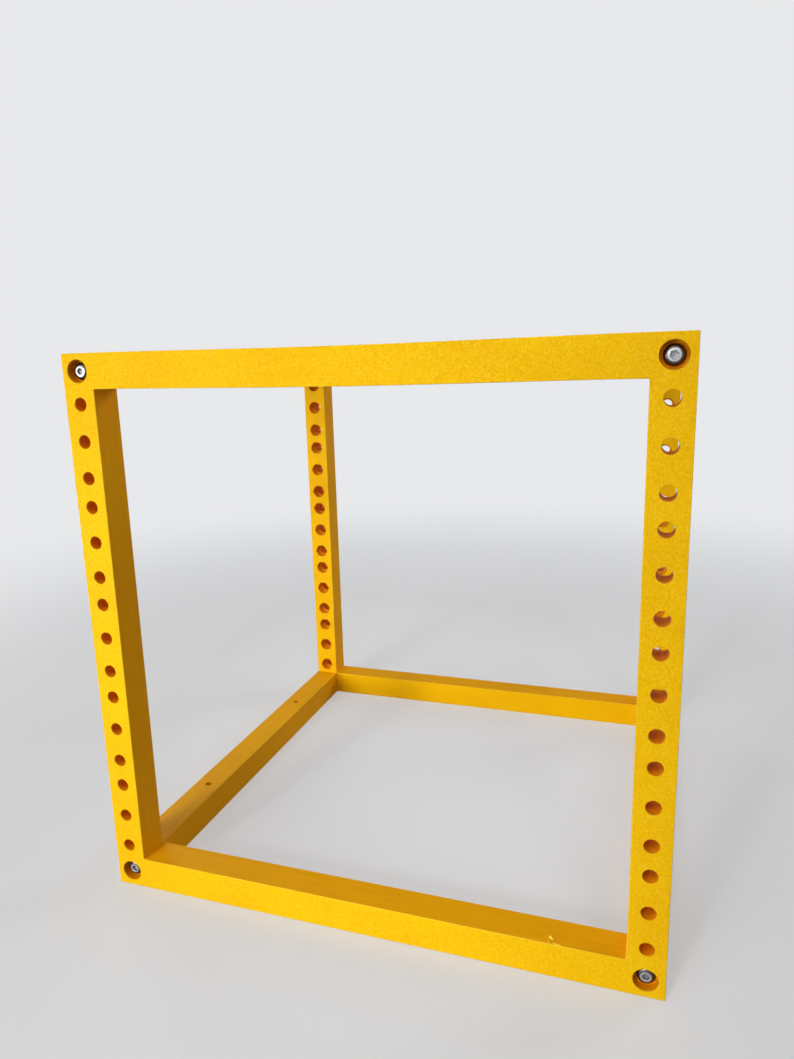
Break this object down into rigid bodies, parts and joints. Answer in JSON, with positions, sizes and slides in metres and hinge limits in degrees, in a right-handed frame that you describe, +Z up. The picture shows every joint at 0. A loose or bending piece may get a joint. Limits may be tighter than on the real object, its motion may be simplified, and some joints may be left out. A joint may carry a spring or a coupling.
{
  "type": "equipment rack frame",
  "caption": "Open cube frame of square printed bars with rack-spaced holes down its front and rear posts and recessed corner screws, for small-format rack equipment.",
  "frame": {"origin": "bottom centre of the cube, on the surface it stands on", "axes": "+Z up, +X to the right seen from the front, +Y from the front frame to the rear frame"},
  "size_m": [0.2522, 0.2522, 0.2522],
  "materials": {
    "bar_plastic": "golden yellow printed plastic with a fine sparkle and faint layer lines",
    "screw_steel": "bright zinc or stainless steel",
    "insert_brass": "plain turned brass"
  },
  "bodies": {
    "root": {"front_frame": "bar_plastic", "rear_frame": "bar_plastic", "lower_left_beam": "bar_plastic", "front_lower_left_screw": "screw_steel", "front_lower_left_insert": "insert_brass", "rear_lower_left_screw": "screw_steel", "rear_lower_left_insert": "insert_brass", "upper_left_beam": "bar_plastic", "front_upper_left_screw": "screw_steel", "front_upper_left_insert": "insert_brass", "rear_upper_left_screw": "screw_steel", "rear_upper_left_insert": "insert_brass", "lower_right_beam": "bar_plastic", "front_lower_right_screw": "screw_steel", "front_lower_right_insert": "insert_brass", "rear_lower_right_screw": "screw_steel", "rear_lower_right_insert": "insert_brass", "upper_right_beam": "bar_plastic", "front_upper_right_screw": "screw_steel", "front_upper_right_insert": "insert_brass", "rear_upper_right_screw": "screw_steel", "rear_upper_right_insert": "insert_brass"}
  },
  "joints": []
}
